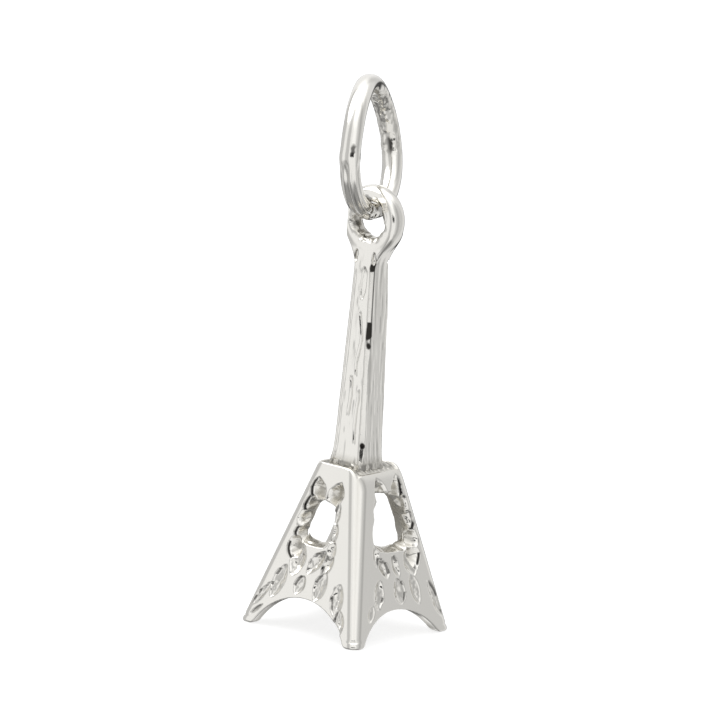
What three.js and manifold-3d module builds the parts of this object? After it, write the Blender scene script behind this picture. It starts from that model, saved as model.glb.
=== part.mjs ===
// A cast silver lattice tower charm hanging on an oval jump ring.
// Millimetres, +Z up, the soles of the four feet on Z = 0, the front face towards -Y.
import * as THREE from "three";
import { mergeVertices } from "three/addons/utils/BufferGeometryUtils.js";
import Module from "manifold-3d";

const wasm = await Module();
wasm.setup();

// Arched base: a four-sided frustum whose deck is a little off centre, as cast.
const FOOT_HALF = 3.62;
const DECK_Z = 8.25;
const DECK = { x0: -1.17, x1: 1.46, y0: -1.6, y1: 1.6 };
const CORNER_CUT_FOOT = 0.3;
const CORNER_CUT_DECK = 0.44;
const WALL = 0.65;
const CAVITY_TOP = 7.0;

// Arches: round cutters that run right through the base, one along Y and one along X.
const ARCH_HALF_SPAN = 2.9;
const ARCH_RISE_FRONT = 1.77;
const ARCH_RISE_SIDE = 1.5;

// Spire: half widths at heights, flaring at the foot.
const SPIRE = [
  { z: DECK_Z, half: 0.94 },
  { z: 8.5, half: 0.88 },
  { z: 9.3, half: 0.81 },
  { z: 11.5, half: 0.735 },
  { z: 14.0, half: 0.655 },
  { z: 18.1, half: 0.51 },
];
const SPIRE_CORNER_CUT = 0.13;
const SPIRE_TOP = SPIRE[SPIRE.length - 1];

// Hanging eye: an oval ring of oval section on a short flared neck.
const EYE = { x: -0.02, z: 20.12, radiusX: 1.25, radiusZ: 1.3 };
const EYE_RADIAL_HALF = 0.34;
const EYE_DEPTH_HALF = 0.45;
const NECK_TOP = { z: 19.35, halfX: 1.32, halfY: 0.38 };

// Jump ring: oval wire, leaning over and sprung a little out of flat.
const RING_RADIUS = 3.085;
const RING_RADIAL_HALF = 0.43;
const RING_AXIAL_HALF = 0.5;
const RING_BOTTOM = new THREE.Vector3(-0.1, 0, 20.5);
const RING_YAW = THREE.MathUtils.degToRad(21.6);
const RING_LEAN = THREE.MathUtils.degToRad(-7);
const RING_TWIST = THREE.MathUtils.degToRad(-5.5);

// Right half of a window in its face, from the valley between the top lobes to the sill:
// [outer half width, outer height, inner half width, inner height].
const WINDOW_HALF = [
  [0.0, 6.8, 0.0, 6.45],
  [0.3, 7.1, 0.3, 6.5],
  [0.6, 7.4, 0.5, 6.45],
  [0.85, 7.15, 0.68, 6.3],
  [0.95, 6.5, 0.75, 6.0],
  [1.12, 6.1, 0.82, 5.8],
  [1.12, 5.5, 0.88, 5.5],
  [1.33, 5.1, 0.92, 5.2],
  [1.35, 4.6, 0.95, 4.9],
  [1.52, 4.1, 0.95, 4.6],
  [1.5, 3.6, 0.9, 4.4],
  [0.8, 3.4, 0.5, 4.3],
  [0.0, 3.5, 0.0, 4.3],
];

// Hollows pressed into each face below its window: across, up, half width, half length, tilt in degrees.
const HOLLOWS = [
  { across: -2.6, up: 1.5, wide: 0.22, long: 0.68, tilt: -26 },
  { across: -1.7, up: 2.25, wide: 0.38, long: 0.85, tilt: -22 },
  { across: -0.45, up: 2.35, wide: 0.36, long: 0.5, tilt: -12 },
  { across: 0.85, up: 2.45, wide: 0.4, long: 0.65, tilt: -4 },
  { across: 2.1, up: 1.75, wide: 0.38, long: 1.0, tilt: 16 },
  { across: -1.0, up: 3.25, wide: 0.38, long: 0.6, tilt: 20 },
  { across: 0.15, up: 3.35, wide: 0.38, long: 0.55, tilt: -20 },
  { across: 1.0, up: 3.35, wide: 0.36, long: 0.6, tilt: -10 },
];
const HOLLOW_DEPTH = 0.2;

// Each face of the base: the way it looks, its deck edge, which way its pattern runs, window offset.
const FACES = [
  { turn: 0, deckEdge: -DECK.y0, mirror: 1, shift: -0.15 },
  { turn: 90, deckEdge: DECK.x1, mirror: -1, shift: 0.3 },
  { turn: 180, deckEdge: DECK.y1, mirror: 1, shift: 0 },
  { turn: 270, deckEdge: -DECK.x0, mirror: -1, shift: 0 },
];

const SILVER = "#e4e0d8";

// ---- helpers ----

function toSolid(geometry) {
  const plain = geometry.clone();
  plain.deleteAttribute("normal");
  plain.deleteAttribute("uv");
  const merged = mergeVertices(plain, 1e-5);
  return new wasm.Manifold(
    new wasm.Mesh({
      numProp: 3,
      vertProperties: merged.attributes.position.array,
      triVerts: new Uint32Array(merged.index.array),
    }),
  );
}

function toMesh(name, solid) {
  const data = solid.getMesh();
  const geometry = new THREE.BufferGeometry();
  geometry.setAttribute("position", new THREE.BufferAttribute(data.vertProperties, 3));
  geometry.setIndex(new THREE.BufferAttribute(data.triVerts, 1));
  geometry.computeVertexNormals();
  const material = new THREE.MeshStandardMaterial({ color: SILVER, metalness: 1, roughness: 0.2 });
  const mesh = new THREE.Mesh(geometry, material);
  mesh.name = name;
  return mesh;
}

// A closed body through sections that hold the same number of points, each wound the same way.
function loft(sections) {
  const count = sections[0].length;
  const points = sections.flat();
  const index = [];
  for (let s = 0; s + 1 < sections.length; s++) {
    for (let i = 0; i < count; i++) {
      const a = s * count + i;
      const b = s * count + ((i + 1) % count);
      index.push(a, b, b + count, a, b + count, a + count);
    }
  }
  const last = (sections.length - 1) * count;
  for (let i = 1; i + 1 < count; i++) {
    index.push(0, i + 1, i);
    index.push(last, last + i, last + i + 1);
  }
  const geometry = new THREE.BufferGeometry().setFromPoints(points);
  geometry.setIndex(index);
  return geometry;
}

// A rectangle with cut corners, wound anticlockwise seen from above.
function cutRectangle(x0, x1, y0, y1, cut, z) {
  return [
    [x0 + cut, y0],
    [x1 - cut, y0],
    [x1, y0 + cut],
    [x1, y1 - cut],
    [x1 - cut, y1],
    [x0 + cut, y1],
    [x0, y1 - cut],
    [x0, y0 + cut],
  ].map(([x, y]) => new THREE.Vector3(x, y, z));
}

function cutSquare(half, cut, z) {
  return cutRectangle(-half, half, -half, half, cut, z);
}

// The frame of one sloping face: X across it, Y up its slope, Z out of it.
function faceFrame(face) {
  const slope = Math.atan2(FOOT_HALF - face.deckEdge, DECK_Z);
  const across = new THREE.Vector3(1, 0, 0);
  const up = new THREE.Vector3(0, Math.sin(slope), Math.cos(slope));
  const out = new THREE.Vector3().crossVectors(across, up);
  const frame = new THREE.Matrix4().makeBasis(across, up, out);
  frame.setPosition(0, -FOOT_HALF, 0);
  const turn = new THREE.Matrix4().makeRotationZ(THREE.MathUtils.degToRad(face.turn));
  return { matrix: turn.multiply(frame), stretch: 1 / Math.cos(slope) };
}

// ---- arched base ----

// One ring of window outline points at a depth; the right half is mirrored to make the left.
function windowOutline(face, stretch, inner, depth) {
  const pick = inner ? 2 : 0;
  const right = WINDOW_HALF.map((row) => [row[pick], row[pick + 1]]);
  const left = right.slice(1, -1).map(([wide, up]) => [-wide, up]);
  const outline = [...left, ...right.slice().reverse()];
  return outline.map(([wide, up]) => new THREE.Vector3(wide + face.shift, up * stretch, depth));
}

// A funnel that opens from the window's inner hole to its scalloped outer edge.
function windowCutter(face) {
  const { matrix, stretch } = faceFrame(face);
  const sections = [
    windowOutline(face, stretch, true, -WALL - 0.6),
    windowOutline(face, stretch, true, -0.55 * WALL),
    windowOutline(face, stretch, false, -0.15),
    windowOutline(face, stretch, false, 0.3),
  ];
  const count = sections[0].length;
  const geometry = loft(sections);
  const sides = Array.from(geometry.index.array).slice(0, 6 * count * (sections.length - 1));
  const last = count * (sections.length - 1);
  const bottom = THREE.ShapeUtils.triangulateShape(sections[0], []);
  const top = THREE.ShapeUtils.triangulateShape(sections[sections.length - 1], []);
  const caps = [
    ...bottom.map(([a, b, c]) => [a, c, b]),
    ...top.map(([a, b, c]) => [a + last, b + last, c + last]),
  ];
  geometry.setIndex([...sides, ...caps.flat()]);
  return toSolid(geometry.applyMatrix4(matrix));
}

function hollowCutter(face, hollow) {
  const { matrix, stretch } = faceFrame(face);
  const ball = new THREE.SphereGeometry(1, 14, 9);
  ball.scale(hollow.wide, hollow.long, HOLLOW_DEPTH);
  ball.rotateZ(THREE.MathUtils.degToRad(hollow.tilt * face.mirror));
  ball.translate(hollow.across * face.mirror, hollow.up * stretch, 0);
  return toSolid(ball.applyMatrix4(matrix));
}

// A round bar whose top cuts an arch of the given rise over the feet; a turn of 0 runs it along Y.
function archCutter(rise, turn) {
  const radius = (ARCH_HALF_SPAN ** 2 + rise ** 2) / (2 * rise);
  const bar = new THREE.CylinderGeometry(radius, radius, 4 * FOOT_HALF, 96);
  bar.translate(0, 0, rise - radius);
  bar.rotateZ(THREE.MathUtils.degToRad(turn));
  return toSolid(bar);
}

function makeBase() {
  const outer = loft([
    cutSquare(FOOT_HALF, CORNER_CUT_FOOT, 0),
    cutRectangle(DECK.x0, DECK.x1, DECK.y0, DECK.y1, CORNER_CUT_DECK, DECK_Z),
  ]);
  const share = CAVITY_TOP / DECK_Z;
  const edge = (deck) => THREE.MathUtils.lerp(FOOT_HALF, deck, share) - WALL;
  const cavity = loft([
    cutSquare(FOOT_HALF - WALL, 0.1, -0.001),
    cutRectangle(-edge(-DECK.x0), edge(DECK.x1), -edge(-DECK.y0), edge(DECK.y1), 0.1, CAVITY_TOP),
  ]);
  let base = toSolid(outer).subtract(toSolid(cavity));
  base = base.subtract(archCutter(ARCH_RISE_FRONT, 0));
  base = base.subtract(archCutter(ARCH_RISE_SIDE, 90));
  for (const face of FACES) {
    base = base.subtract(windowCutter(face));
    for (const hollow of HOLLOWS) {
      base = base.subtract(hollowCutter(face, hollow));
    }
  }
  return toMesh("arched_base", base);
}

// ---- spire, eye and ring ----

function makeSpire() {
  const sections = SPIRE.map(({ z, half }) => cutSquare(half, SPIRE_CORNER_CUT, z));
  return toMesh("spire", toSolid(loft(sections)));
}

function makeEye() {
  const ring = new THREE.TorusGeometry(1, 0.25, 18, 56);
  const place = ring.attributes.position;
  for (let i = 0; i < place.count; i++) {
    const radius = Math.hypot(place.getX(i), place.getY(i));
    const out = ((radius - 1) / 0.25) * EYE_RADIAL_HALF;
    const x = (place.getX(i) / radius) * (EYE.radiusX + out);
    const z = (place.getY(i) / radius) * (EYE.radiusZ + out);
    const y = (place.getZ(i) / 0.25) * EYE_DEPTH_HALF;
    place.setXYZ(i, EYE.x + x, -y, EYE.z + z);
  }
  const neck = loft([
    cutSquare(SPIRE_TOP.half, SPIRE_CORNER_CUT, SPIRE_TOP.z),
    cutRectangle(-0.72, 0.7, -0.46, 0.46, 0.13, 18.7),
    cutRectangle(-NECK_TOP.halfX, NECK_TOP.halfX, -NECK_TOP.halfY, NECK_TOP.halfY, 0.1, NECK_TOP.z),
  ]);
  const bore = new THREE.CylinderGeometry(1, 1, 3, 56);
  bore.scale(EYE.radiusX, 1, EYE.radiusZ);
  bore.translate(EYE.x, 0, EYE.z);
  const solid = toSolid(neck).subtract(toSolid(bore)).add(toSolid(ring));
  return toMesh("eye", solid);
}

// The wire's centre and its radial and axial directions at an angle round the ring.
function ringStation(angle) {
  const along = new THREE.Vector3(-Math.sin(RING_YAW), Math.cos(RING_YAW), 0);
  const across = new THREE.Vector3(Math.cos(RING_YAW), Math.sin(RING_YAW), 0);
  const up = new THREE.Vector3(0, 0, Math.cos(RING_LEAN)).addScaledVector(across, Math.sin(RING_LEAN));
  const side = new THREE.Vector3().crossVectors(along, up);
  const twist = RING_TWIST * Math.sin(angle);
  const run = along.clone().multiplyScalar(Math.cos(twist)).addScaledVector(side, Math.sin(twist));
  const radial = run.clone().multiplyScalar(Math.cos(angle)).addScaledVector(up, Math.sin(angle));
  const axial = new THREE.Vector3().crossVectors(run, up);
  const middle = RING_BOTTOM.clone().addScaledVector(up, RING_RADIUS);
  return { centre: middle.addScaledVector(radial, RING_RADIUS), radial, axial };
}

function makeRing() {
  const steps = 80;
  const sides = 20;
  const points = [];
  const index = [];
  for (let i = 0; i < steps; i++) {
    const { centre, radial, axial } = ringStation((2 * Math.PI * i) / steps);
    for (let j = 0; j < sides; j++) {
      const turn = (2 * Math.PI * j) / sides;
      const point = centre.clone().addScaledVector(radial, RING_RADIAL_HALF * Math.cos(turn));
      points.push(point.addScaledVector(axial, RING_AXIAL_HALF * Math.sin(turn)));
      const next = (j + 1) % sides;
      const a = i * sides + j;
      const b = i * sides + next;
      const c = ((i + 1) % steps) * sides + next;
      const d = ((i + 1) % steps) * sides + j;
      index.push(a, c, b, a, d, c);
    }
  }
  const geometry = new THREE.BufferGeometry().setFromPoints(points);
  geometry.setIndex(index);
  return toMesh("jump_ring", toSolid(geometry));
}

const charm = new THREE.Group();
charm.add(makeBase(), makeSpire(), makeEye(), makeRing());
export default charm;
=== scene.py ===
"""A cast silver lattice tower charm on its jump ring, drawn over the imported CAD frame.

Each piece is a distance field (negative inside, in millimetres) that is meshed at its zero level.
"""
import math

import bmesh
import bpy
import numpy as np
import openvdb
from mathutils import Matrix, Vector


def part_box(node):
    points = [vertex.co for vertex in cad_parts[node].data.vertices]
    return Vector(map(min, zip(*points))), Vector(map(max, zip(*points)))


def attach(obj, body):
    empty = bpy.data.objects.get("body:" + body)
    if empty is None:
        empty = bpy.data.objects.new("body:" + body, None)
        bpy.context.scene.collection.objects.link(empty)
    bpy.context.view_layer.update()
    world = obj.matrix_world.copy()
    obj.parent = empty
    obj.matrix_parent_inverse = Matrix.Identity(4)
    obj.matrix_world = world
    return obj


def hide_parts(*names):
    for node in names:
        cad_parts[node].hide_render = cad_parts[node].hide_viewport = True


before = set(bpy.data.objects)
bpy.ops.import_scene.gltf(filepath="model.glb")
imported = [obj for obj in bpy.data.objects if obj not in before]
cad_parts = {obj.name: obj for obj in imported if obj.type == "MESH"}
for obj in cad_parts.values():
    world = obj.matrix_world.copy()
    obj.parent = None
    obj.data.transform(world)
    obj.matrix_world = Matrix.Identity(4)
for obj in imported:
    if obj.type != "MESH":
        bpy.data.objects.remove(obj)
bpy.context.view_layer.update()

MM = 0.001


def box_mm(node):
    low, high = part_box(node)
    return np.array(low) / MM, np.array(high) / MM


BASE_LOW, BASE_HIGH = box_mm("arched_base")
SPIRE_LOW, SPIRE_HIGH = box_mm("spire")
_, EYE_HIGH = box_mm("eye")
RING_LOW, RING_HIGH = box_mm("jump_ring")

# Arched base: half width at the feet, deck edges, the cuts at its corners and its walls.
FOOT_HALF = BASE_HIGH[0] + 0.04  # the rounding of its edges takes this off again
DECK_Z = BASE_HIGH[2]
DECK_FRONT, DECK_RIGHT, DECK_BACK, DECK_LEFT = 1.64, 1.50, 1.64, 1.21
CORNER_CUT_FOOT = 0.34
CORNER_CUT_DECK = 0.5
WALL = 0.6
CAVITY_TOP = 7.0
BASE_SIDE_CORNER_SHARE = 0.55
WINDOW_DRAFT = 0.12
TOE_HEIGHT, TOE_GROOVE = 0.36, 0.05
SOLE_ROUNDING = 0.20
DECK_SINK = 0.09

# Spire: a straight taper with a flare at its foot, spreading more to the right and the back.
SPIRE_HALF_TOP = 0.59
SPIRE_TAPER = 0.0275
SPIRE_FLARE = 0.094
SPIRE_FLARE_HEIGHT = 0.45
SPIRE_TOP = SPIRE_HIGH[2]
SPIRE_CORNER_CUT = 0.16
SPIRE_ROOT = 0.7  # how far it runs down into the base
SPIRE_SIDE_CORNER_SHARE = 0.35
SPIRE_SPREAD_RIGHT = 0.10
SPIRE_SPREAD_BACK = 0.30
NECK_START, NECK_END = SPIRE_TOP - 0.4, 19.7
NECK_TOP = 19.6
NECK_SPREAD = 0.92
NECK_DEPTH_HALF = 0.40
NOTCH_HEIGHT = 18.3
NOTCH_ACROSS, NOTCH_OUT = 0.54, 0.50

# The spire's front and back: a sunk panel, an oval hollow in it near the top, and grooves.
PANEL_DEPTH, PANEL_MARGIN, PANEL_TOP = 0.05, 0.12, 17.9
HOLLOW_DEPTH, HOLLOW_ACROSS, HOLLOW_HEIGHT, HOLLOW_LEAN = 0.08, 0.06, 17.05, 0.05
HOLLOW_HALF_WIDTH, HOLLOW_HALF_LENGTH = 0.17, 0.85
GROOVE_DEPTH = 0.06
# Each groove: lower and upper end, place across, and sway.
SPIRE_GROOVES = [(12.6, 15.6, 0.12, 0.10), (10.6, 12.4, -0.18, 0.05), (9.3, 11.8, 0.3, 0.04)]

# Painted dark reflections down the spire's front right corner: height and half length.
SPIRE_PAINTED_REFLECTIONS = [(14.7, 0.6), (17.9, 0.25), (9.2, 0.2)]

# Eye: an oval ring of oval section.
EYE_X, EYE_Z = -0.02, 20.12
EYE_RADIUS_X, EYE_RADIUS_Z = 1.28, 1.27
EYE_RADIAL_HALF = 0.40
EYE_DEPTH_HALF = 0.50
EYE_SQUARENESS = 2.4  # 2 is an ellipse, and more is boxier

# Jump ring: oval wire, leaning over and sprung a little out of flat.
RING_RADIUS = 3.085
RING_RADIAL_HALF = 0.43
RING_AXIAL_HALF = 0.5
RING_BOTTOM = np.array([-0.1, 0.0, 20.5])
RING_YAW = math.radians(21.6)
RING_LEAN = math.radians(-7)
RING_TWIST = math.radians(-5.5)

VOXEL = 0.04

# Roughness layers: height, wavelengths along x, y and z, and seed.
DECK_GRAIN = [(0.03, (0.2, 0.2, 0.3), 5), (0.015, (0.1, 0.1, 0.2), 6)]
HAMMER_MARKS = [(0.016, (0.35, 0.35, 0.9), 51), (0.009, (0.14, 0.14, 0.35), 52)]
DRAWN_LINES = [(0.026, (0.5, 0.16, 2.6), 53), (0.018, (0.5, 0.08, 1.0), 54)]
CORNER_WAVER = [(0.02, (2, 2, 1.3), 55)]
SEAM_GRAIN = [(0.03, (0.12, 0.12, 0.12), 56)]
# The ragged outline of the painted reflections on the spire's corner.
PAINTED_REFLECTION_OUTLINE = [(0.7, (0.3, 0.3, 0.35), 59)]
BORE_WEAR = [(0.05, (0.2, 0.2, 0.2), 61), (0.05, (0.45, 0.45, 0.45), 62)]
RING_PITS = [(0.03, (0.2, 0.2, 0.2), 71), (0.03, (0.45, 0.45, 0.45), 72)]
RING_FILING = [(0.035, (0.16, 0.16, 0.2), 73)]
RING_WEAR = [(0.010, (0.8, 0.8, 0.8), 74)]


# ---- field arithmetic ----

def smooth_max(a, b, blend):
    overlap = np.maximum(blend - np.abs(a - b), 0) / blend
    return np.maximum(a, b) + overlap * overlap * blend * 0.25


def smooth_min(a, b, blend):
    return -smooth_max(-a, -b, blend)


def smooth_step(low, high, x):
    t = np.clip((x - low) / (high - low), 0, 1)
    return t * t * (3 - 2 * t)


def lattice_value(ix, iy, iz, seed):
    """A repeatable number from -1 to 1 for each corner of a lattice."""
    h = ix * 374761393 + iy * 668265263 + iz * 2147483647 + seed * 144269504
    h = (h ^ (h >> 13)) * 1274126177
    h = h ^ (h >> 16)
    return (h & 0xFFFF) / 32767.5 - 1.0


def noise(x, y, z, seed):
    """Smooth value noise of unit wavelength."""
    fx, fy, fz = np.floor(x), np.floor(y), np.floor(z)
    ix, iy, iz = fx.astype(np.int64), fy.astype(np.int64), fz.astype(np.int64)
    tx, ty, tz = x - fx, y - fy, z - fz
    tx, ty, tz = (t * t * (3 - 2 * t) for t in (tx, ty, tz))
    total = 0.0
    for dx in (0, 1):
        for dy in (0, 1):
            for dz in (0, 1):
                weight = (tx if dx else 1 - tx) * (ty if dy else 1 - ty) * (tz if dz else 1 - tz)
                total = total + weight * lattice_value(ix + dx, iy + dy, iz + dz, seed)
    return total


def roughness(x, y, z, layers):
    """A sum of noises: each layer has its height, its wavelengths along x, y and z, and its seed."""
    total = 0.0
    for height, (wave_x, wave_y, wave_z), seed in layers:
        total = total + height * noise(x / wave_x, y / wave_y, z / wave_z, seed)
    return total


def patches(x, y, z, wave, seed, start, full):
    """Blotches from 0 to 1, where a noise of the given wavelengths lies between two levels."""
    return smooth_step(start, full, roughness(x, y, z, [(1.0, wave, seed)]))


# ---- meshing ----

def gradient(field, points, step=0.012):
    """The field's gradient from four tetrahedral samples."""
    total = np.zeros_like(points)
    for corner in ((1, -1, -1), (-1, -1, 1), (-1, 1, -1), (1, 1, 1)):
        corner = np.array(corner, float)
        value = field(*(points + step * corner).T)
        total += value[:, None] * corner
    return total / (4 * step)


def sample_field(field, low, high, voxel):
    counts = np.ceil((high - low) / voxel).astype(int) + 1
    xs, ys, zs = (low[k] + voxel * np.arange(counts[k]) for k in range(3))
    values = np.empty(counts, np.float32)
    slab = 12
    for start in range(0, counts[2], slab):
        x, y, z = np.meshgrid(xs, ys, zs[start:start + slab], indexing="ij")
        part = field(x.ravel(), y.ravel(), z.ravel())
        values[:, :, start:start + slab] = part.reshape(x.shape)
    return values


def field_mesh(field, low, high, voxel=VOXEL):
    """A closed mesh of a field's zero level, in metres, inside a box given in millimetres."""
    low = np.asarray(low, float) - 3 * voxel
    high = np.asarray(high, float) + 3 * voxel
    values = sample_field(field, low, high, voxel)
    grid = openvdb.FloatGrid()
    grid.background = 3.0
    grid.copyFromArray(np.clip(values / voxel, -3, 3).astype(np.float32))
    points, quads = grid.convertToQuads(isovalue=0.0)
    points = low + voxel * np.asarray(points, float)
    for _ in range(3):
        slope = gradient(field, points)
        size = np.maximum((slope * slope).sum(1), 0.2)
        move = -(field(*points.T) / size)[:, None] * slope
        length = np.linalg.norm(move, axis=1, keepdims=True)
        points = points + move * np.minimum(1, 0.4 * voxel / np.maximum(length, 1e-9))
    mesh = bpy.data.meshes.new("field")
    mesh.from_pydata((points * MM).tolist(), [], np.asarray(quads).tolist())
    mesh.update()
    if signed_volume(mesh) < 0:
        mesh.flip_normals()
    mesh.polygons.foreach_set("use_smooth", np.ones(len(mesh.polygons), bool))
    return mesh


def keep_side(mesh, height, above):
    """The part of a mesh above or below a height in millimetres, closed by a flat cap with a sharp rim."""
    part = bmesh.new()
    part.from_mesh(mesh)
    geometry = part.verts[:] + part.edges[:] + part.faces[:]
    cut = bmesh.ops.bisect_plane(part, geom=geometry, plane_co=(0, 0, height * MM), plane_no=(0, 0, 1),
                                 clear_inner=above, clear_outer=not above)
    rim = [item for item in cut["geom_cut"] if isinstance(item, bmesh.types.BMEdge)]
    for edge in rim:
        edge.smooth = False
    for face in bmesh.ops.contextual_create(part, geom=rim)["faces"]:
        face.smooth = False
    result = bpy.data.meshes.new("part")
    part.to_mesh(result)
    part.free()
    return result


def add_piece(name, mesh, rides, node, slot, material, **finish):
    """Puts a mesh in the scene as a piece that stands for a CAD node."""
    mesh.name = name
    place = np.empty(3 * len(mesh.vertices))
    mesh.vertices.foreach_get("co", place)
    for attribute, shade in finish.items():
        layer = mesh.attributes.new(attribute, "FLOAT", "POINT")
        layer.data.foreach_set("value", shade(*(place.reshape(-1, 3).T / MM)).astype(np.float32))
    piece = bpy.data.objects.new(name, mesh)
    bpy.context.scene.collection.objects.link(piece)
    mesh.materials.append(material)
    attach(piece, rides)
    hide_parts(node)


def signed_volume(mesh):
    mesh.calc_loop_triangles()
    count = len(mesh.loop_triangles)
    corners = np.empty(3 * count, np.int32)
    mesh.loop_triangles.foreach_get("vertices", corners)
    place = np.empty(3 * len(mesh.vertices))
    mesh.vertices.foreach_get("co", place)
    a, b, c = place.reshape(-1, 3)[corners.reshape(-1, 3)].transpose(1, 0, 2)
    return float((a * np.cross(b, c)).sum() / 6)


# ---- relief of the base's four faces ----

# Each gouge: across, height, half width, half length, tilt in degrees (top to the right), depth.
# The scallops are steep-walled bites out of a window's rim, and the leaves are shallow scoops.
FRONT_SCALLOPS = [
    (-0.62, 6.72, 0.50, 0.84, -12, 0.60),
    (0.44, 6.74, 0.46, 0.80, 16, 0.60),
    (-0.86, 6.02, 0.42, 0.62, -12, 0.62),
    (-1.02, 5.32, 0.48, 0.60, -15, 0.62),
    (-1.08, 4.66, 0.47, 0.58, -10, 0.62),
    (-1.22, 4.02, 0.54, 0.66, -15, 0.56),
]
FRONT_LEAVES = [
    (0.80, 5.95, 0.22, 0.60, 3, 0.20),
    (0.88, 5.05, 0.25, 0.60, 3, 0.22),
    (0.95, 4.25, 0.28, 0.55, 5, 0.26),
    (-0.94, 3.52, 0.48, 0.86, 12, 0.34),
    (0.22, 3.60, 0.32, 0.82, 36, 0.32),
    (0.92, 3.58, 0.30, 0.62, 18, 0.30),
    (-2.64, 1.52, 0.21, 0.80, 36, 0.13),
    (-1.80, 2.30, 0.38, 0.96, 17, 0.20),
    (-0.49, 2.37, 0.33, 0.54, 20, 0.15),
    (0.76, 2.50, 0.38, 0.78, 18, 0.22),
    (1.95, 2.10, 0.38, 0.85, -3, 0.22),
    (2.34, 1.10, 0.32, 0.66, -12, 0.22),
    (-2.74, 0.74, 0.07, 0.40, 48, 0.05),
]
FRONT_HOLE = {"across": -0.26, "height": 5.40, "half_width": 0.90, "half_height": 1.02, "taper": 0.10}

SIDE_SCALLOPS = [
    (-0.20, 6.96, 0.44, 0.76, -10, 0.60),
    (0.90, 6.88, 0.46, 0.78, 14, 0.60),
    (1.22, 6.14, 0.46, 0.62, 10, 0.62),
    (1.46, 5.36, 0.50, 0.62, 15, 0.62),
    (1.60, 4.58, 0.50, 0.62, 8, 0.62),
    (1.56, 3.84, 0.50, 0.70, -10, 0.56),
]
SIDE_LEAVES = [
    (-0.72, 6.20, 0.22, 0.70, 12, 0.22),
    (-0.98, 5.10, 0.24, 0.70, 10, 0.22),
    (-1.14, 4.20, 0.26, 0.60, 8, 0.24),
    (-0.70, 3.52, 0.30, 0.60, -28, 0.26),
    (0.17, 3.50, 0.26, 0.62, -17, 0.26),
    (1.26, 3.52, 0.46, 0.74, -26, 0.32),
    (-2.04, 1.52, 0.24, 0.46, 28, 0.15),
    (-1.34, 2.34, 0.40, 0.76, 15, 0.22),
    (0.23, 2.32, 0.46, 0.70, -10, 0.22),
    (1.40, 2.30, 0.36, 0.84, -16, 0.24),
    (2.76, 1.66, 0.27, 1.08, -23, 0.17),
]
SIDE_HOLE = {"across": 0.36, "height": 5.60, "half_width": 1.24, "half_height": 1.32, "taper": 0.28}
FAR_HOLE = {"across": 0.0, "height": 5.00, "half_width": 1.25, "half_height": 1.85, "taper": 0.22}

ARCH_FRONT = {"rise": 1.77, "apex": 0.0, "left": 2.9, "right": 2.9}
ARCH_SIDE = {"rise": 1.50, "apex": -0.35, "left": 2.55, "right": 3.2}


def face_pattern(scallops, leaves, hole, painted_shade_side, lip):
    """A face's relief.

    Its gouges' rims get painted dark lines, standing in for reflection and shade, on one side: -1 for the
    left,
    1 for the right. With a lip, a shallow groove with painted shade along it runs under the deck's edge.
    """
    return {"scallops": scallops, "leaves": leaves, "hole": hole, "painted_shade_side": painted_shade_side, "lip": lip}


FRONT_PATTERN = face_pattern(FRONT_SCALLOPS, FRONT_LEAVES, FRONT_HOLE, -1, 1)
SIDE_PATTERN = face_pattern(SIDE_SCALLOPS, SIDE_LEAVES, SIDE_HOLE, 1, 0)
BACK_PATTERN = face_pattern(FRONT_SCALLOPS, FRONT_LEAVES, FAR_HOLE, -1, 1)
LEFT_PATTERN = face_pattern(SIDE_SCALLOPS, SIDE_LEAVES, FAR_HOLE, 1, 0)

# Each face: its turn from the front, its deck edge, how round that edge is, and its pattern.
FACES = [
    {"turn": 0, "deck": DECK_FRONT, "shoulder": 0.10, "pattern": FRONT_PATTERN},
    {"turn": 90, "deck": DECK_RIGHT, "shoulder": 1.1, "pattern": SIDE_PATTERN},
    {"turn": 180, "deck": DECK_BACK, "shoulder": 0.20, "pattern": BACK_PATTERN},
    {"turn": 270, "deck": DECK_LEFT, "shoulder": 0.20, "pattern": LEFT_PATTERN},
]
RELIEF_PITCH = 0.02
RELIEF_HALF = 3.6
RELIEF_TOP = 8.6
SCALLOP_BEVEL, SCALLOP_CREASE = 0.13, 0.05
LEAF_BEVEL, LEAF_CREASE = 0.06, 0.25
GOUGE_TAPER = 0.85  # how fast a gouge narrows towards its points
GOUGE_LEAN = 0.45  # how far a gouge's floor leans
PAINTED_RIM_EDGE, PAINTED_RIM_CORE = 0.085, 0.03  # half widths of the painted dark line, for reflection and shade, on a gouge's rim
HOLE_SQUARENESS = 2.8
HOLE_FLARE, HOLE_FLARE_SLOPE = 0.34, 3.0  # the window's rim slopes in to its through-hole
LIP_HEIGHT, LIP_HALF, LIP_REACH = 8.40, 0.04, 1.25  # of the painted shade line, over a shallow groove, under the deck's edge


def gouge_depth(across, height, gouge, bevel, crease, painted_shade_side):
    """A pointed gouge: its depth, below nought outside its rim, and where a painted dark line runs on its rim
    (0 to 1).
    """
    u, v, half_width, half_length, tilt, depth = gouge
    turn = math.radians(tilt)
    du, dv = across - u, height - v
    side = (du * math.cos(turn) - dv * math.sin(turn)) / half_width
    along = (du * math.sin(turn) + dv * math.cos(turn)) / half_length
    radius = np.hypot(side, crease) + GOUGE_TAPER * along * along
    inward = (1 - radius) * half_width
    # Each floor leans its own way, so that neighbours catch the light differently.
    lean = 1 + GOUGE_LEAN * (side * math.cos(9 * v + u) + along * math.sin(9 * v + u))
    floor = np.clip(inward - bevel, 0, None) / (half_width - bevel) * lean
    rim = smooth_step(PAINTED_RIM_EDGE, PAINTED_RIM_CORE, np.abs(inward - 0.02))
    rim = rim * smooth_step(0.1, 0.5, painted_shade_side * side)
    return np.minimum(inward, bevel) + (depth - bevel) * floor, rim


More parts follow.
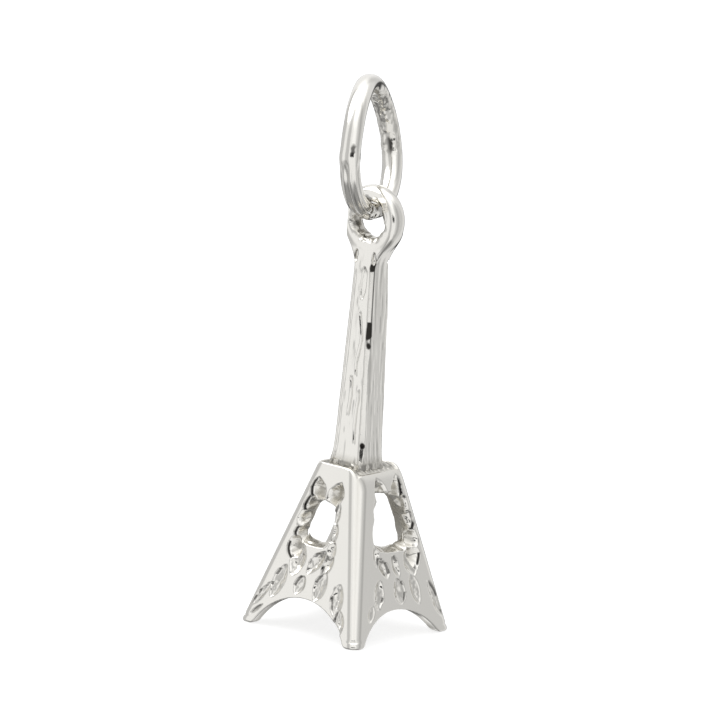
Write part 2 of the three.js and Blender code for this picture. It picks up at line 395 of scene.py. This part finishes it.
def hole_distance(across, height, hole):
    """Distance from the edge of a window's through-hole, below nought inside it."""
    side, along = across - hole["across"], (height - hole["height"]) / hole["half_height"]
    width = hole["half_width"] * (1 - hole["taper"] * along)
    radius = np.abs(side / width) ** HOLE_SQUARENESS + np.abs(along) ** HOLE_SQUARENESS
    radius = radius ** (1 / HOLE_SQUARENESS)
    return (radius - 1) * hole["half_width"]


def undercut_lip(u, v):
    """Painted shade under the deck's edge, over a shallow groove, strongest at the left."""
    line = np.exp(-((v - LIP_HEIGHT) / LIP_HALF) ** 2) * smooth_step(LIP_REACH, LIP_REACH - 0.25, np.abs(u))
    return 0.9 * line * smooth_step(0.9, -0.3, u)


def carve_gouges(pattern, u, v, bend_u, bend_v, seed):
    """Depth of a pattern's gouges, and where painted dark lines for reflection and shade run on their rims.
    """
    flat = 0 * u
    depth = np.full_like(u, -1.0)
    undercut = np.zeros_like(u)
    painted_shade_side = pattern["painted_shade_side"]
    # The painted rim lines stand only on a window's outer side, broken into patches.
    outer = smooth_step(0.3, 0.6, painted_shade_side * u) * patches(u, v, flat, (0.4, 0.4, 1), seed, -0.6, -0.3)
    for gouge in pattern["scallops"]:
        bite, rim = gouge_depth(u + bend_u, v + bend_v, gouge, SCALLOP_BEVEL, SCALLOP_CREASE, painted_shade_side)
        depth = np.maximum(depth, bite)
        undercut = np.maximum(undercut, rim * outer)
    broken = 0.75 * patches(u, v, flat, (0.3, 0.3, 1), seed + 1, 0.0, 0.3)
    for gouge in pattern["leaves"]:
        leaf, rim = gouge_depth(u + bend_u / 2, v + bend_v / 2, gouge, LEAF_BEVEL, LEAF_CREASE, painted_shade_side)
        depth = smooth_max(depth, leaf, 0.02)
        undercut = np.maximum(undercut, rim * broken)
    return depth, undercut * smooth_step(0.20, 0.12, depth)


def make_maps(face, seed):
    """Maps of a face: the depth of its relief, the distance from its hole, and its painted dark lines for
    reflection and shade.
    """
    us = np.arange(-RELIEF_HALF, RELIEF_HALF, RELIEF_PITCH)
    vs = np.arange(0, RELIEF_TOP, RELIEF_PITCH)
    u, v = np.meshgrid(us, vs, indexing="ij")
    flat = 0 * u
    bend_u = roughness(u, v, flat, [(0.05, (0.5, 0.5, 1), seed), (0.022, (0.2, 0.2, 1), seed + 1)])
    bend_v = roughness(u, v, flat + 7, [(0.05, (0.5, 0.5, 1), seed), (0.022, (0.2, 0.2, 1), seed)])
    depth, undercut = carve_gouges(face["pattern"], u, v, bend_u, bend_v, seed + 5)
    if face["pattern"]["lip"]:
        undercut = np.maximum(undercut, undercut_lip(u, v + bend_v))
    edge = hole_distance(u + bend_u, v + bend_v, face["pattern"]["hole"])
    depth = smooth_max(depth, HOLE_FLARE - HOLE_FLARE_SLOPE * edge, 0.03)
    depth = smooth_max(depth, flat, 0.03)
    grain = roughness(u, v, flat, [(0.018, (0.11, 0.11, 1), seed + 7), (0.035, (0.27, 0.27, 1), seed + 8)])
    lumps = roughness(u, v, flat, [(0.10, (0.22, 0.22, 1), seed + 4)])
    sill = smooth_step(0.35, 0.0, edge) * smooth_step(0.1, 0.3, depth)
    # The painted dark lines also sink the relief a little.
    depth = depth + smooth_step(0.03, 0.14, depth) * grain + sill * lumps + 0.07 * undercut
    return depth.astype(np.float32), edge.astype(np.float32), undercut.astype(np.float32)


def look_up(relief, u, v):
    """Bilinear reading of a height map."""
    a = np.clip((u + RELIEF_HALF) / RELIEF_PITCH, 0, relief.shape[0] - 1.001)
    b = np.clip(v / RELIEF_PITCH, 0, relief.shape[1] - 1.001)
    i, j = a.astype(np.int32), b.astype(np.int32)
    s, t = a - i, b - j
    low = relief[i, j] * (1 - s) + relief[i + 1, j] * s
    high = relief[i, j + 1] * (1 - s) + relief[i + 1, j + 1] * s
    return low * (1 - t) + high * t


for number, face in enumerate(FACES):
    face["relief"], face["edge"], face["undercut"] = make_maps(face, 10 + 10 * number)
    face["slope"] = math.atan2(FOOT_HALF - face["deck"], DECK_Z)


def face_axes(face, x, y):
    """Turns x and y into the face's own: across it, and out of it."""
    turn = math.radians(face["turn"])
    across = x * math.cos(turn) + y * math.sin(turn)
    out = x * math.sin(turn) - y * math.cos(turn)
    return across, out


def arch_field(across, z, arch):
    """Distance into an arch's opening from its edge, below nought in the metal."""
    left = (arch["left"] ** 2 + arch["rise"] ** 2) / (2 * arch["rise"])
    right = (arch["right"] ** 2 + arch["rise"] ** 2) / (2 * arch["rise"])
    offset = across - arch["apex"]
    radius = np.where(offset < 0, left, right)
    return radius - np.hypot(offset, z - arch["rise"] + radius)


def deck_rim_distance(x, y):
    """Distance outward from the edge of the deck."""
    return np.maximum(np.maximum(x - DECK_RIGHT, -DECK_LEFT - x), np.abs(y) - DECK_FRONT)


def deck_field(x, y, z):
    """The deck: a low rim around a granular floor."""
    rim = deck_rim_distance(x, y)
    deck = z - DECK_Z + 0.02 + DECK_SINK * smooth_step(-0.10, -0.22, rim)
    top = np.abs(deck) < 0.3
    deck[top] += roughness(x[top], y[top], z[top], DECK_GRAIN) * smooth_step(-0.16, -0.3, rim[top])
    return deck


def face_plane(face, x, y, z):
    """Place across a face, and distance outward from its plane."""
    across, out = face_axes(face, x, y)
    edge = FOOT_HALF + (face["deck"] - FOOT_HALF) * z / DECK_Z
    return across, (out - edge) * math.cos(face["slope"])


def carve_face(face, solid, deck, across, plane, z):
    """Cuts one face into the solid, with its relief and its window."""
    near = np.abs(plane) < WALL + 0.5
    carved = plane.copy()
    carved[near] += look_up(face["relief"], across[near], z[near])
    solid = smooth_max(solid, smooth_max(deck, carved, face["shoulder"]), 0.06)
    through = np.full_like(plane, -9.0)
    inward = np.maximum(-plane[near], 0)
    through[near] = -look_up(face["edge"], across[near], z[near]) - WINDOW_DRAFT * inward
    return smooth_max(solid, through, 0.04)


def cut_corners(solid, x, y, z):
    """The flats down the four corners: broad at the front and back, narrow at the sides."""
    height = z / DECK_Z
    cut = CORNER_CUT_FOOT + (CORNER_CUT_DECK - CORNER_CUT_FOOT) * height
    toe = TOE_GROOVE * np.exp(-((z - TOE_HEIGHT) / 0.05) ** 2)
    for sx, half_x in ((1, DECK_RIGHT), (-1, DECK_LEFT)):
        for sy, half_y in ((1, DECK_BACK), (-1, DECK_FRONT)):
            share = BASE_SIDE_CORNER_SHARE if sx == sy else 1.0
            reach = 2 * FOOT_HALF + (half_x + half_y - 2 * FOOT_HALF) * height - share * cut
            corner = (sx * x + sy * y - reach) * (math.sqrt(0.5) * 0.98)
            solid = smooth_max(solid, corner + toe, 0.16)
    return solid


def base_field(x, y, z):
    deck = deck_field(x, y, z)
    solid = deck
    hollow = z - CAVITY_TOP
    for face in FACES:
        across, plane = face_plane(face, x, y, z)
        hollow = np.maximum(hollow, plane + WALL)
        solid = carve_face(face, solid, deck, across, plane, z)
    solid = cut_corners(solid, x, y, z)
    solid = smooth_max(solid, -hollow, 0.05)
    solid = smooth_max(solid, arch_field(x, z, ARCH_FRONT), 0.06)
    solid = smooth_max(solid, arch_field(y, z, ARCH_SIDE), 0.06)
    return smooth_max(solid, -z, SOLE_ROUNDING)


def base_recess(x, y, z):
    """How deep in the casting a point lies, for painted shade and duller polish: 0 on the outer faces, 1 in
    the hollows.
    """
    deepest = np.full_like(x, 9.0)
    for face in FACES:
        deepest = np.minimum(deepest, -face_plane(face, x, y, z)[1])
    return smooth_step(0.03, 0.40, deepest)


def base_tarnish(x, y, z):
    """Painted shade in patches on the deck round the spire, and painted dark lines for reflection and shade
    on the gouges' rims and under the deck's edge.
    """
    tarnish = smooth_step(DECK_Z - 0.4, DECK_Z - 0.2, z) * smooth_step(-0.1, -0.2, deck_rim_distance(x, y))
    tarnish = tarnish * (0.25 + 0.35 * patches(x, y, z, (0.15, 0.15, 0.15), 7, -0.2, 0.5))
    for face in FACES:
        across, plane = face_plane(face, x, y, z)
        near = np.abs(plane) < 0.3
        tarnish[near] = np.maximum(tarnish[near], look_up(face["undercut"], across[near], z[near]))
    return tarnish


# ---- spire and eye ----

def spire_half(z):
    flare = SPIRE_FLARE * np.exp((DECK_Z - np.maximum(z, DECK_Z - 0.1)) / SPIRE_FLARE_HEIGHT)
    return SPIRE_HALF_TOP + SPIRE_TAPER * (SPIRE_TOP - z) + flare


def spire_relief(x, z, half):
    """How far the front and back faces of the spire lie below their planes."""
    panel = PANEL_DEPTH * smooth_step(0.0, 0.10, half - PANEL_MARGIN - np.abs(x))
    panel = panel * smooth_step(PANEL_TOP, PANEL_TOP - 0.5, z)
    up = z - HOLLOW_HEIGHT
    oval = np.hypot((x - HOLLOW_ACROSS - HOLLOW_LEAN * up) / HOLLOW_HALF_WIDTH, up / HOLLOW_HALF_LENGTH)
    hollow = HOLLOW_DEPTH * smooth_step(1.05, 0.80, oval)
    for start, end, place, sway in SPIRE_GROOVES:
        line = np.abs(x - place - sway * np.sin(2.3 * z))
        reach = smooth_step(start - 0.2, start + 0.2, z) * smooth_step(end + 0.2, end - 0.2, z)
        hollow = hollow + GROOVE_DEPTH * reach * smooth_step(0.09, 0.02, line)
    return panel + hollow


def shaft_section(z):
    """How far the spire and neck reach at a height, and how far their middle is off to the right and back."""
    half = spire_half(z)
    widen = smooth_step(NECK_START, NECK_END, z)
    spread = np.clip((SPIRE_TOP - z) / (SPIRE_TOP - DECK_Z), 0, 1.05)
    right, back = 0.5 * SPIRE_SPREAD_RIGHT * spread, 0.5 * SPIRE_SPREAD_BACK * spread
    half_x = half + NECK_SPREAD * widen ** 1.15 + right
    half_y = half * (1 - widen) + NECK_DEPTH_HALF * widen + back
    return half_x, half_y, right, back, widen


def shaft_field(x, y, z):
    """The spire and the eye's neck: hammered at the front and back, drawn lines at the sides."""
    half_x, half_y, right, back, widen = shaft_section(z)
    x, y = x - right, y - back
    worked = 1 - widen
    hammer = roughness(x, y, z, HAMMER_MARKS)
    ends = np.abs(y) - half_y + worked * (hammer + spire_relief(x, z, spire_half(z)))
    sides = np.abs(x - EYE_X * widen) - half_x + worked * (roughness(x, y, z, DRAWN_LINES) + 0.5 * hammer)
    shaft = smooth_max(ends, sides, 0.04)
    waver = roughness(x, y, z, CORNER_WAVER)
    cut = SPIRE_CORNER_CUT * (1 - 0.6 * widen) * np.where(x * y > 0, SPIRE_SIDE_CORNER_SHARE, 1.0)
    corner = np.abs(x) * (1 + waver) + np.abs(y) * (1 - waver) - (half_x + half_y - cut)
    shaft = smooth_max(shaft, corner * math.sqrt(0.5), 0.03)
    notch_x, notch_y = (np.abs(x) - NOTCH_ACROSS) / 0.10, (np.abs(y) - NOTCH_OUT) / 0.14
    notch = np.sqrt(notch_x ** 2 + notch_y ** 2 + ((z - NOTCH_HEIGHT) / 0.34) ** 2)
    shaft = smooth_max(shaft, (1 - notch) * 0.10, 0.02)
    seam = roughness(x, y, z, SEAM_GRAIN) * smooth_step(DECK_Z + 0.3, DECK_Z, z)
    shaft = smooth_max(shaft + seam, z - NECK_TOP, 0.05)
    return smooth_max(shaft, DECK_Z - SPIRE_ROOT - z, 0.02)


def eye_radius(x, z):
    """Distance from the eye's centre as a share of its middle line's."""
    return np.hypot((x - EYE_X) / EYE_RADIUS_X, (z - EYE_Z) / EYE_RADIUS_Z)


def tower_top_field(x, y, z):
    """Spire, neck and eye in one, so that they flow together where they meet."""
    radial = (eye_radius(x, z) - 1) * 0.5 * (EYE_RADIUS_X + EYE_RADIUS_Z)
    reach_out, reach_along = np.abs(radial / EYE_RADIAL_HALF), np.abs(y / EYE_DEPTH_HALF)
    section = (reach_out ** EYE_SQUARENESS + reach_along ** EYE_SQUARENESS) ** (1 / EYE_SQUARENESS)
    loop = (section - 1) * EYE_RADIAL_HALF + smooth_step(0.0, -0.2, radial) * roughness(x, y, z, BORE_WEAR)
    shaft = smooth_max(shaft_field(x, y, z), -(radial + 0.12), 0.05)
    return smooth_min(shaft, loop, 0.14)


def spire_recess(x, y, z):
    # Painted shade, with duller polish, towards the spire's foot where it meets the deck.
    return smooth_step(DECK_Z + 0.5, DECK_Z, z)


def spire_tarnish(x, y, z):
    """Painted shade along the seam at its foot, and painted dark reflections in spots and a broken line down
    its front right corner.
    """
    half_x, half_y, right, back, _ = shaft_section(z)
    x, y = x - right, y - back
    outward = np.abs(x - y - (half_x + half_y - SPIRE_CORNER_CUT))
    across = x + y - (half_x - half_y)
    line = smooth_step(0.07, 0.03, np.abs(across - 0.9 * SPIRE_CORNER_CUT))
    line = line * smooth_step(0.12, 0.05, outward) * patches(x, y, z, (3, 3, 1.1), 57, 0.0, 0.3)
    ragged = roughness(x, y, z, PAINTED_REFLECTION_OUTLINE)
    painted_reflection_spot = np.zeros_like(z)
    for height, half_length in SPIRE_PAINTED_REFLECTIONS:
        away = np.hypot((z - height) / half_length, 0.7 * across / SPIRE_CORNER_CUT)
        painted_reflection_spot = np.maximum(painted_reflection_spot, smooth_step(1.05, 0.8, away + ragged) * smooth_step(0.08, 0.04, outward))
    seam = smooth_step(DECK_Z + 0.12, DECK_Z, z) * patches(x, y, z, (0.2, 0.2, 1.0), 58, -0.2, 0.4)
    return np.maximum(np.maximum(painted_reflection_spot, 0.8 * line), 0.5 * seam)


def eye_recess(x, y, z):
    # Painted shade, with duller polish, inside the eye's hole.
    return smooth_step(0.9, 0.78, eye_radius(x, z))


def eye_tarnish(x, y, z):
    """Painted shade in patches inside the hole and in the notches at the neck."""
    bore = eye_recess(x, y, z) * patches(x, y, z, (0.3, 0.3, 0.3), 63, 0.0, 0.4)
    notch = np.exp(-((z - NOTCH_HEIGHT) / 0.2) ** 2) * smooth_step(0.12, 0.04, np.abs(np.abs(x) - 0.60))
    return np.maximum(0.6 * bore, 0.8 * notch * smooth_step(0.38, 0.46, np.abs(y)))


# ---- jump ring ----

def ring_axes():
    along = np.array([-math.sin(RING_YAW), math.cos(RING_YAW), 0.0])
    across = np.array([math.cos(RING_YAW), math.sin(RING_YAW), 0.0])
    up = np.array([0, 0, math.cos(RING_LEAN)]) + across * math.sin(RING_LEAN)
    return along, up, np.cross(along, up)


def ring_coordinates(x, y, z):
    """The angle round the ring, the distance out of its middle line, and the distance across its plane."""
    along, up, side = ring_axes()
    middle = RING_BOTTOM + up * RING_RADIUS
    offset = np.stack([x, y, z], 1) - middle
    a, u, s = offset @ along, offset @ up, offset @ side
    angle = np.arctan2(u, a)
    twist = RING_TWIST * np.sin(angle)
    run = a * np.cos(twist) + s * np.sin(twist)
    axial = s * np.cos(twist) - a * np.sin(twist)
    return angle, np.hypot(run, u) - RING_RADIUS, axial


def far_limb_inside(angle, radial):
    """The unfinished inner side of the far limb, from 0 to 1."""
    return smooth_step(-0.35, -0.15, angle) * smooth_step(1.25, 1.0, angle) * smooth_step(0.05, -0.2, radial)


def ring_field(x, y, z):
    """Oval wire, worn rough in the eye. Pliers left flats on the near limb, below a slight kink."""
    angle, radial, axial = ring_coordinates(x, y, z)
    around = np.arctan2(axial / RING_AXIAL_HALF, radial / RING_RADIAL_HALF)
    below_kink = smooth_step(-3.14, -2.85, angle) * smooth_step(-1.2, -1.6, angle)
    kink = np.exp(-((math.pi - np.abs(angle)) / 0.14) ** 2) * smooth_step(0.0, 0.3, radial)
    flats = 0.035 * np.cos(4 * around + 0.6) + 0.030 * np.cos(9 * around + 1.5)
    gripped = below_kink * (0.05 + smooth_step(-1.7, -2.1, angle) * flats) - 0.06 * kink
    in_eye = smooth_step(-2.2, -1.9, angle) * smooth_step(-1.1, -1.4, angle)
    pits = in_eye * roughness(x, y, z, RING_PITS)
    filed = far_limb_inside(angle, radial) * roughness(x, y, z, RING_FILING)
    section = np.hypot(radial / RING_RADIAL_HALF, axial / RING_AXIAL_HALF)
    return (section - 1) * RING_RADIAL_HALF + gripped + pits + filed + roughness(x, y, z, RING_WEAR)


def ring_recess(x, y, z):
    # Painted shade, with duller polish, on the inner side of the far limb.
    angle, radial, _ = ring_coordinates(x, y, z)
    return 0.35 * far_limb_inside(angle, radial)


def ring_tarnish(x, y, z):
    """Painted shade in patches in the eye and inside the far limb, and a painted dark reflection above the
    near limb's kink.
    """
    angle, radial, axial = ring_coordinates(x, y, z)
    in_eye = smooth_step(0.9, 0.3, np.abs(z - RING_BOTTOM[2]))
    in_eye = in_eye * patches(x, y, z, (0.3, 0.3, 0.3), 75, 0.1, 0.5)
    streak = noise(x / 0.25, y / 0.25, z / 0.8, 76) - 1.5 * np.abs(angle + 0.12)
    limb = smooth_step(-0.15, 0.1, streak) * np.exp(-((axial - 0.1) / 0.16) ** 2)
    # A painted dark reflection just above the kink.
    painted_reflection_spot = np.hypot((angle - 3.02) / 0.07, (axial - 0.25) / 0.12)
    painted_reflection_spot = painted_reflection_spot + roughness(x, y, z, [(0.5, (0.15, 0.15, 0.15), 77)])
    dirt = np.maximum(0.5 * in_eye, 0.95 * limb * far_limb_inside(angle, radial))
    return np.maximum(dirt, 0.85 * smooth_step(1.1, 0.6, painted_reflection_spot))


# ---- shader nodes ----

def maths(tree, operation, *values):
    """A maths node, fed with numbers or sockets."""
    node = tree.nodes.new("ShaderNodeMath")
    node.operation = operation
    for socket, value in zip(node.inputs, values):
        if isinstance(value, (int, float)):
            socket.default_value = value
        else:
            tree.links.new(value, socket)
    return node.outputs["Value"]


def ramp(tree, value, start, end, low, high, shape="SMOOTHSTEP"):
    """Runs from low to high as a value runs from start to end."""
    node = tree.nodes.new("ShaderNodeMapRange")
    node.interpolation_type = shape
    for key, number in (("From Min", start), ("From Max", end), ("To Min", low), ("To Max", high)):
        node.inputs[key].default_value = number
    tree.links.new(value, node.inputs["Value"])
    return node.outputs["Result"]


def mix_colours(tree, share, end):
    """A mix that runs to an end colour as a share runs from 0 to 1. Its colour A is still to be set."""
    node = tree.nodes.new("ShaderNodeMix")
    node.data_type = "RGBA"
    node.inputs["B"].default_value = end
    tree.links.new(share, node.inputs["Factor"])
    return node


def attribute(tree, name):
    node = tree.nodes.new("ShaderNodeAttribute")
    node.attribute_name = name
    return node.outputs["Fac"]


def noise_texture(tree, scale, detail):
    coords = tree.nodes.new("ShaderNodeTexCoord")
    node = tree.nodes.new("ShaderNodeTexNoise")
    node.inputs["Scale"].default_value = scale
    node.inputs["Detail"].default_value = detail
    tree.links.new(coords.outputs["Object"], node.inputs["Vector"])
    return node.outputs["Fac"]


# ---- silver ----

SILVER_TONE = (0.895, 0.878, 0.835, 1)
# The painted shade of the recesses.
RECESS_SHADE_TONE = (0.70, 0.68, 0.63, 1)
# Near black, for painted shade and painted dark reflections.
PAINTED_DARK_TONE = (0.035, 0.033, 0.030, 1)
WEAR_SCALE, GRAIN_SCALE = 900.0, 7000.0
POLISHED, WORN = 0.10, 0.18
RECESS_DULLNESS = 0.15
GRAIN_DEPTH = 0.02 * MM
FACE_GRAIN, RECESS_GRAIN = 0.03, 0.22


def silver(name):
    """Polished sterling silver: soft wear marks on the faces, duller in the recesses with painted shade
    there, and near-black painted shade and reflections.
    """
    material = bpy.data.materials.new(name)
    material.use_nodes = True
    tree = material.node_tree
    shader = tree.nodes["Principled BSDF"]
    shader.inputs["Metallic"].default_value = 1.0
    recess = attribute(tree, "recess")

    # Painted shade: darker towards the recesses.
    tone = mix_colours(tree, recess, RECESS_SHADE_TONE)
    tone.inputs["A"].default_value = SILVER_TONE
    # Painted shade and painted dark reflections, nearly black.
    tarnished = mix_colours(tree, attribute(tree, "tarnish"), PAINTED_DARK_TONE)
    tree.links.new(tone.outputs["Result"], tarnished.inputs["A"])
    tree.links.new(tarnished.outputs["Result"], shader.inputs["Base Color"])

    polish = ramp(tree, noise_texture(tree, WEAR_SCALE, 3.0), 0.35, 0.7, POLISHED, WORN, "LINEAR")
    tree.links.new(maths(tree, "MULTIPLY_ADD", recess, RECESS_DULLNESS, polish), shader.inputs["Roughness"])

    bump = tree.nodes.new("ShaderNodeBump")
    bump.inputs["Distance"].default_value = GRAIN_DEPTH
    tree.links.new(noise_texture(tree, GRAIN_SCALE, 4.0), bump.inputs["Height"])
    strength = maths(tree, "MULTIPLY_ADD", recess, RECESS_GRAIN, FACE_GRAIN)
    tree.links.new(strength, bump.inputs["Strength"])
    tree.links.new(bump.outputs["Normal"], shader.inputs["Normal"])
    return material


CAST = silver("cast_silver_polished")
WIRE = silver("ring_silver_polished")

base = field_mesh(base_field, BASE_LOW, BASE_HIGH)
# Known fault: this box is too small for the eye's left side and for most of the spire's back, which it
# cuts off flat. Its low corner comes from the spire alone, and its high corner from the eye alone.
TOWER_TOP_LOW = SPIRE_LOW - (0.2, 0.2, SPIRE_ROOT)
tower_top = field_mesh(tower_top_field, TOWER_TOP_LOW, EYE_HIGH)
ring = field_mesh(ring_field, RING_LOW, RING_HIGH)
add_piece("base_casting", base, "tower", "arched_base", "cast_silver", CAST,
          recess=base_recess, tarnish=base_tarnish)
add_piece("spire_shaft", keep_side(tower_top, SPIRE_TOP, above=False),
          "tower", "spire", "cast_silver", CAST, recess=spire_recess, tarnish=spire_tarnish)
add_piece("eye_loop", keep_side(tower_top, SPIRE_TOP, above=True),
          "tower", "eye", "cast_silver", CAST, recess=eye_recess, tarnish=eye_tarnish)
add_piece("jump_ring_wire", ring, "ring", "jump_ring", "ring_silver", WIRE,
          recess=ring_recess, tarnish=ring_tarnish)
bpy.data.meshes.remove(tower_top)


# ---- floor, light and camera ----

CAMERA_AZIMUTH = math.radians(39)
CAMERA_ELEVATION = math.radians(14)
CAMERA_ROLL = math.radians(4.2)
CAMERA_DISTANCE = 350.0
CAMERA_LENS = 360.5
AIM = Vector((-0.16, -0.13, 13.18))

FLOOR_HALF = 260
FLOOR_DROP = 0.004
FLOOR_TONE = (0.36, 0.36, 0.36, 1)
FLOOR_GLOW = 0.74  # a lit table, so the shadows stay pale

# Parts of the tent: azimuth, half width, lowest and highest elevation, soft edge, and brightness.
TENT_PATCHES = [
    (140, 50, -60, 40, 25, 0.66),
    (112, 8, -60, 60, 8, 0.75),
    (168, 12, -60, 60, 12, 1.25),
    (43, 15, -2, 10, 3, 0.02),
    (51, 14, 15, 40, 5, 1.14),
    (-141, 28, -32, -6, 6, 0.08),
    (-76, 20, -60, 60, 14, 0.62),
    (-2, 10, -60, 60, 12, 0.62),
    (-38, 30, -55, -30, 12, 0.62),
    (0, 180, -90, -55, 12, 0.35),
]
TENT_LOW, TENT_HIGH = 0.93, 1.35  # its brightness below 30 degrees and above 60


def direction(azimuth, elevation):
    """A unit vector towards an azimuth from the front, round to the right, and an elevation."""
    flat = math.cos(elevation)
    return Vector((math.sin(azimuth) * flat, -math.cos(azimuth) * flat, math.sin(elevation)))


def make_floor():
    half = FLOOR_HALF * MM
    corners = [(-half, -half, 0), (half, -half, 0), (half, half, 0), (-half, half, 0)]
    mesh = bpy.data.meshes.new("floor")
    mesh.from_pydata(corners, [], [(0, 1, 2, 3)])
    floor = bpy.data.objects.new("floor", mesh)
    bpy.context.scene.collection.objects.link(floor)
    floor.location.z = -FLOOR_DROP * MM
    paper = bpy.data.materials.new("floor_paper")
    paper.use_nodes = True
    shader = paper.node_tree.nodes["Principled BSDF"]
    shader.inputs["Base Color"].default_value = FLOOR_TONE
    shader.inputs["Roughness"].default_value = 0.9
    shader.inputs["Emission Color"].default_value = (1, 1, 1, 1)
    shader.inputs["Emission Strength"].default_value = FLOOR_GLOW
    mesh.materials.append(paper)
    floor.visible_glossy = False  # the polished silver mirrors the tent instead


def tent_patch(tree, azimuth, elevation, block):
    """Scales the light in a block of the tent, and leaves it at 1 elsewhere."""
    middle, half, low, high, soft, brightness = block
    off = maths(tree, "WRAP", maths(tree, "SUBTRACT", azimuth, middle), 180, -180)
    across = ramp(tree, maths(tree, "ABSOLUTE", off), half, half + soft, 1, 0)
    above = ramp(tree, elevation, low - soft, low, 0, 1)
    below = ramp(tree, elevation, high, high + soft, 1, 0)
    inside = maths(tree, "MULTIPLY", across, maths(tree, "MULTIPLY", above, below))
    return maths(tree, "SUBTRACT", 1, maths(tree, "MULTIPLY", inside, 1 - brightness))


def make_world():
    """A white light tent with greyer and darker parts for the metal to mirror, on a white backdrop."""
    world = bpy.data.worlds.new("tent")
    bpy.context.scene.world = world
    world.use_nodes = True
    tree = world.node_tree
    way = tree.nodes.new("ShaderNodeSeparateXYZ")
    tree.links.new(tree.nodes.new("ShaderNodeTexCoord").outputs["Generated"], way.inputs[0])
    degrees = 180 / math.pi
    forward = maths(tree, "MULTIPLY", way.outputs["Y"], -1)
    azimuth = maths(tree, "MULTIPLY", maths(tree, "ARCTAN2", way.outputs["X"], forward), degrees)
    elevation = maths(tree, "MULTIPLY", maths(tree, "ARCSINE", way.outputs["Z"]), degrees)
    glow = ramp(tree, elevation, 30, 60, TENT_LOW, TENT_HIGH)
    for block in TENT_PATCHES:
        glow = maths(tree, "MULTIPLY", glow, tent_patch(tree, azimuth, elevation, block))
    seen = tree.nodes.new("ShaderNodeLightPath").outputs["Is Camera Ray"]
    tent = maths(tree, "MULTIPLY", maths(tree, "SUBTRACT", 1, seen), glow)
    background = tree.nodes["Background"]
    tree.links.new(maths(tree, "ADD", seen, tent), background.inputs["Strength"])
    background.inputs["Color"].default_value = (1, 1, 1, 1)


def make_softbox(name, azimuth, elevation, distance, size, power):
    light = bpy.data.lights.new(name, "AREA")
    light.shape = "DISK"
    light.size = size * MM
    light.energy = power
    lamp = bpy.data.objects.new(name, light)
    bpy.context.scene.collection.objects.link(lamp)
    way = direction(math.radians(azimuth), math.radians(elevation))
    lamp.location = (way * distance + AIM) * MM
    lamp.rotation_euler = (-way).to_track_quat("-Z", "Y").to_euler()


def make_camera():
    data = bpy.data.cameras.new("camera")
    data.lens = CAMERA_LENS
    data.sensor_width = 36
    data.clip_start = 1 * MM
    data.clip_end = 10
    camera = bpy.data.objects.new("camera", data)
    bpy.context.scene.collection.objects.link(camera)
    bpy.context.scene.camera = camera
    place = direction(CAMERA_AZIMUTH, CAMERA_ELEVATION) * CAMERA_DISTANCE
    turn = (AIM - place).to_track_quat("-Z", "Y").to_matrix()
    turn = turn @ Matrix.Rotation(CAMERA_ROLL, 3, "Z")
    camera.matrix_world = Matrix.Translation(place * MM) @ turn.to_4x4()


make_floor()
make_world()
make_softbox("top_softbox", azimuth=-60, elevation=52, distance=160, size=140, power=0.07)
make_camera()
bpy.context.scene.view_settings.view_transform = "Standard"
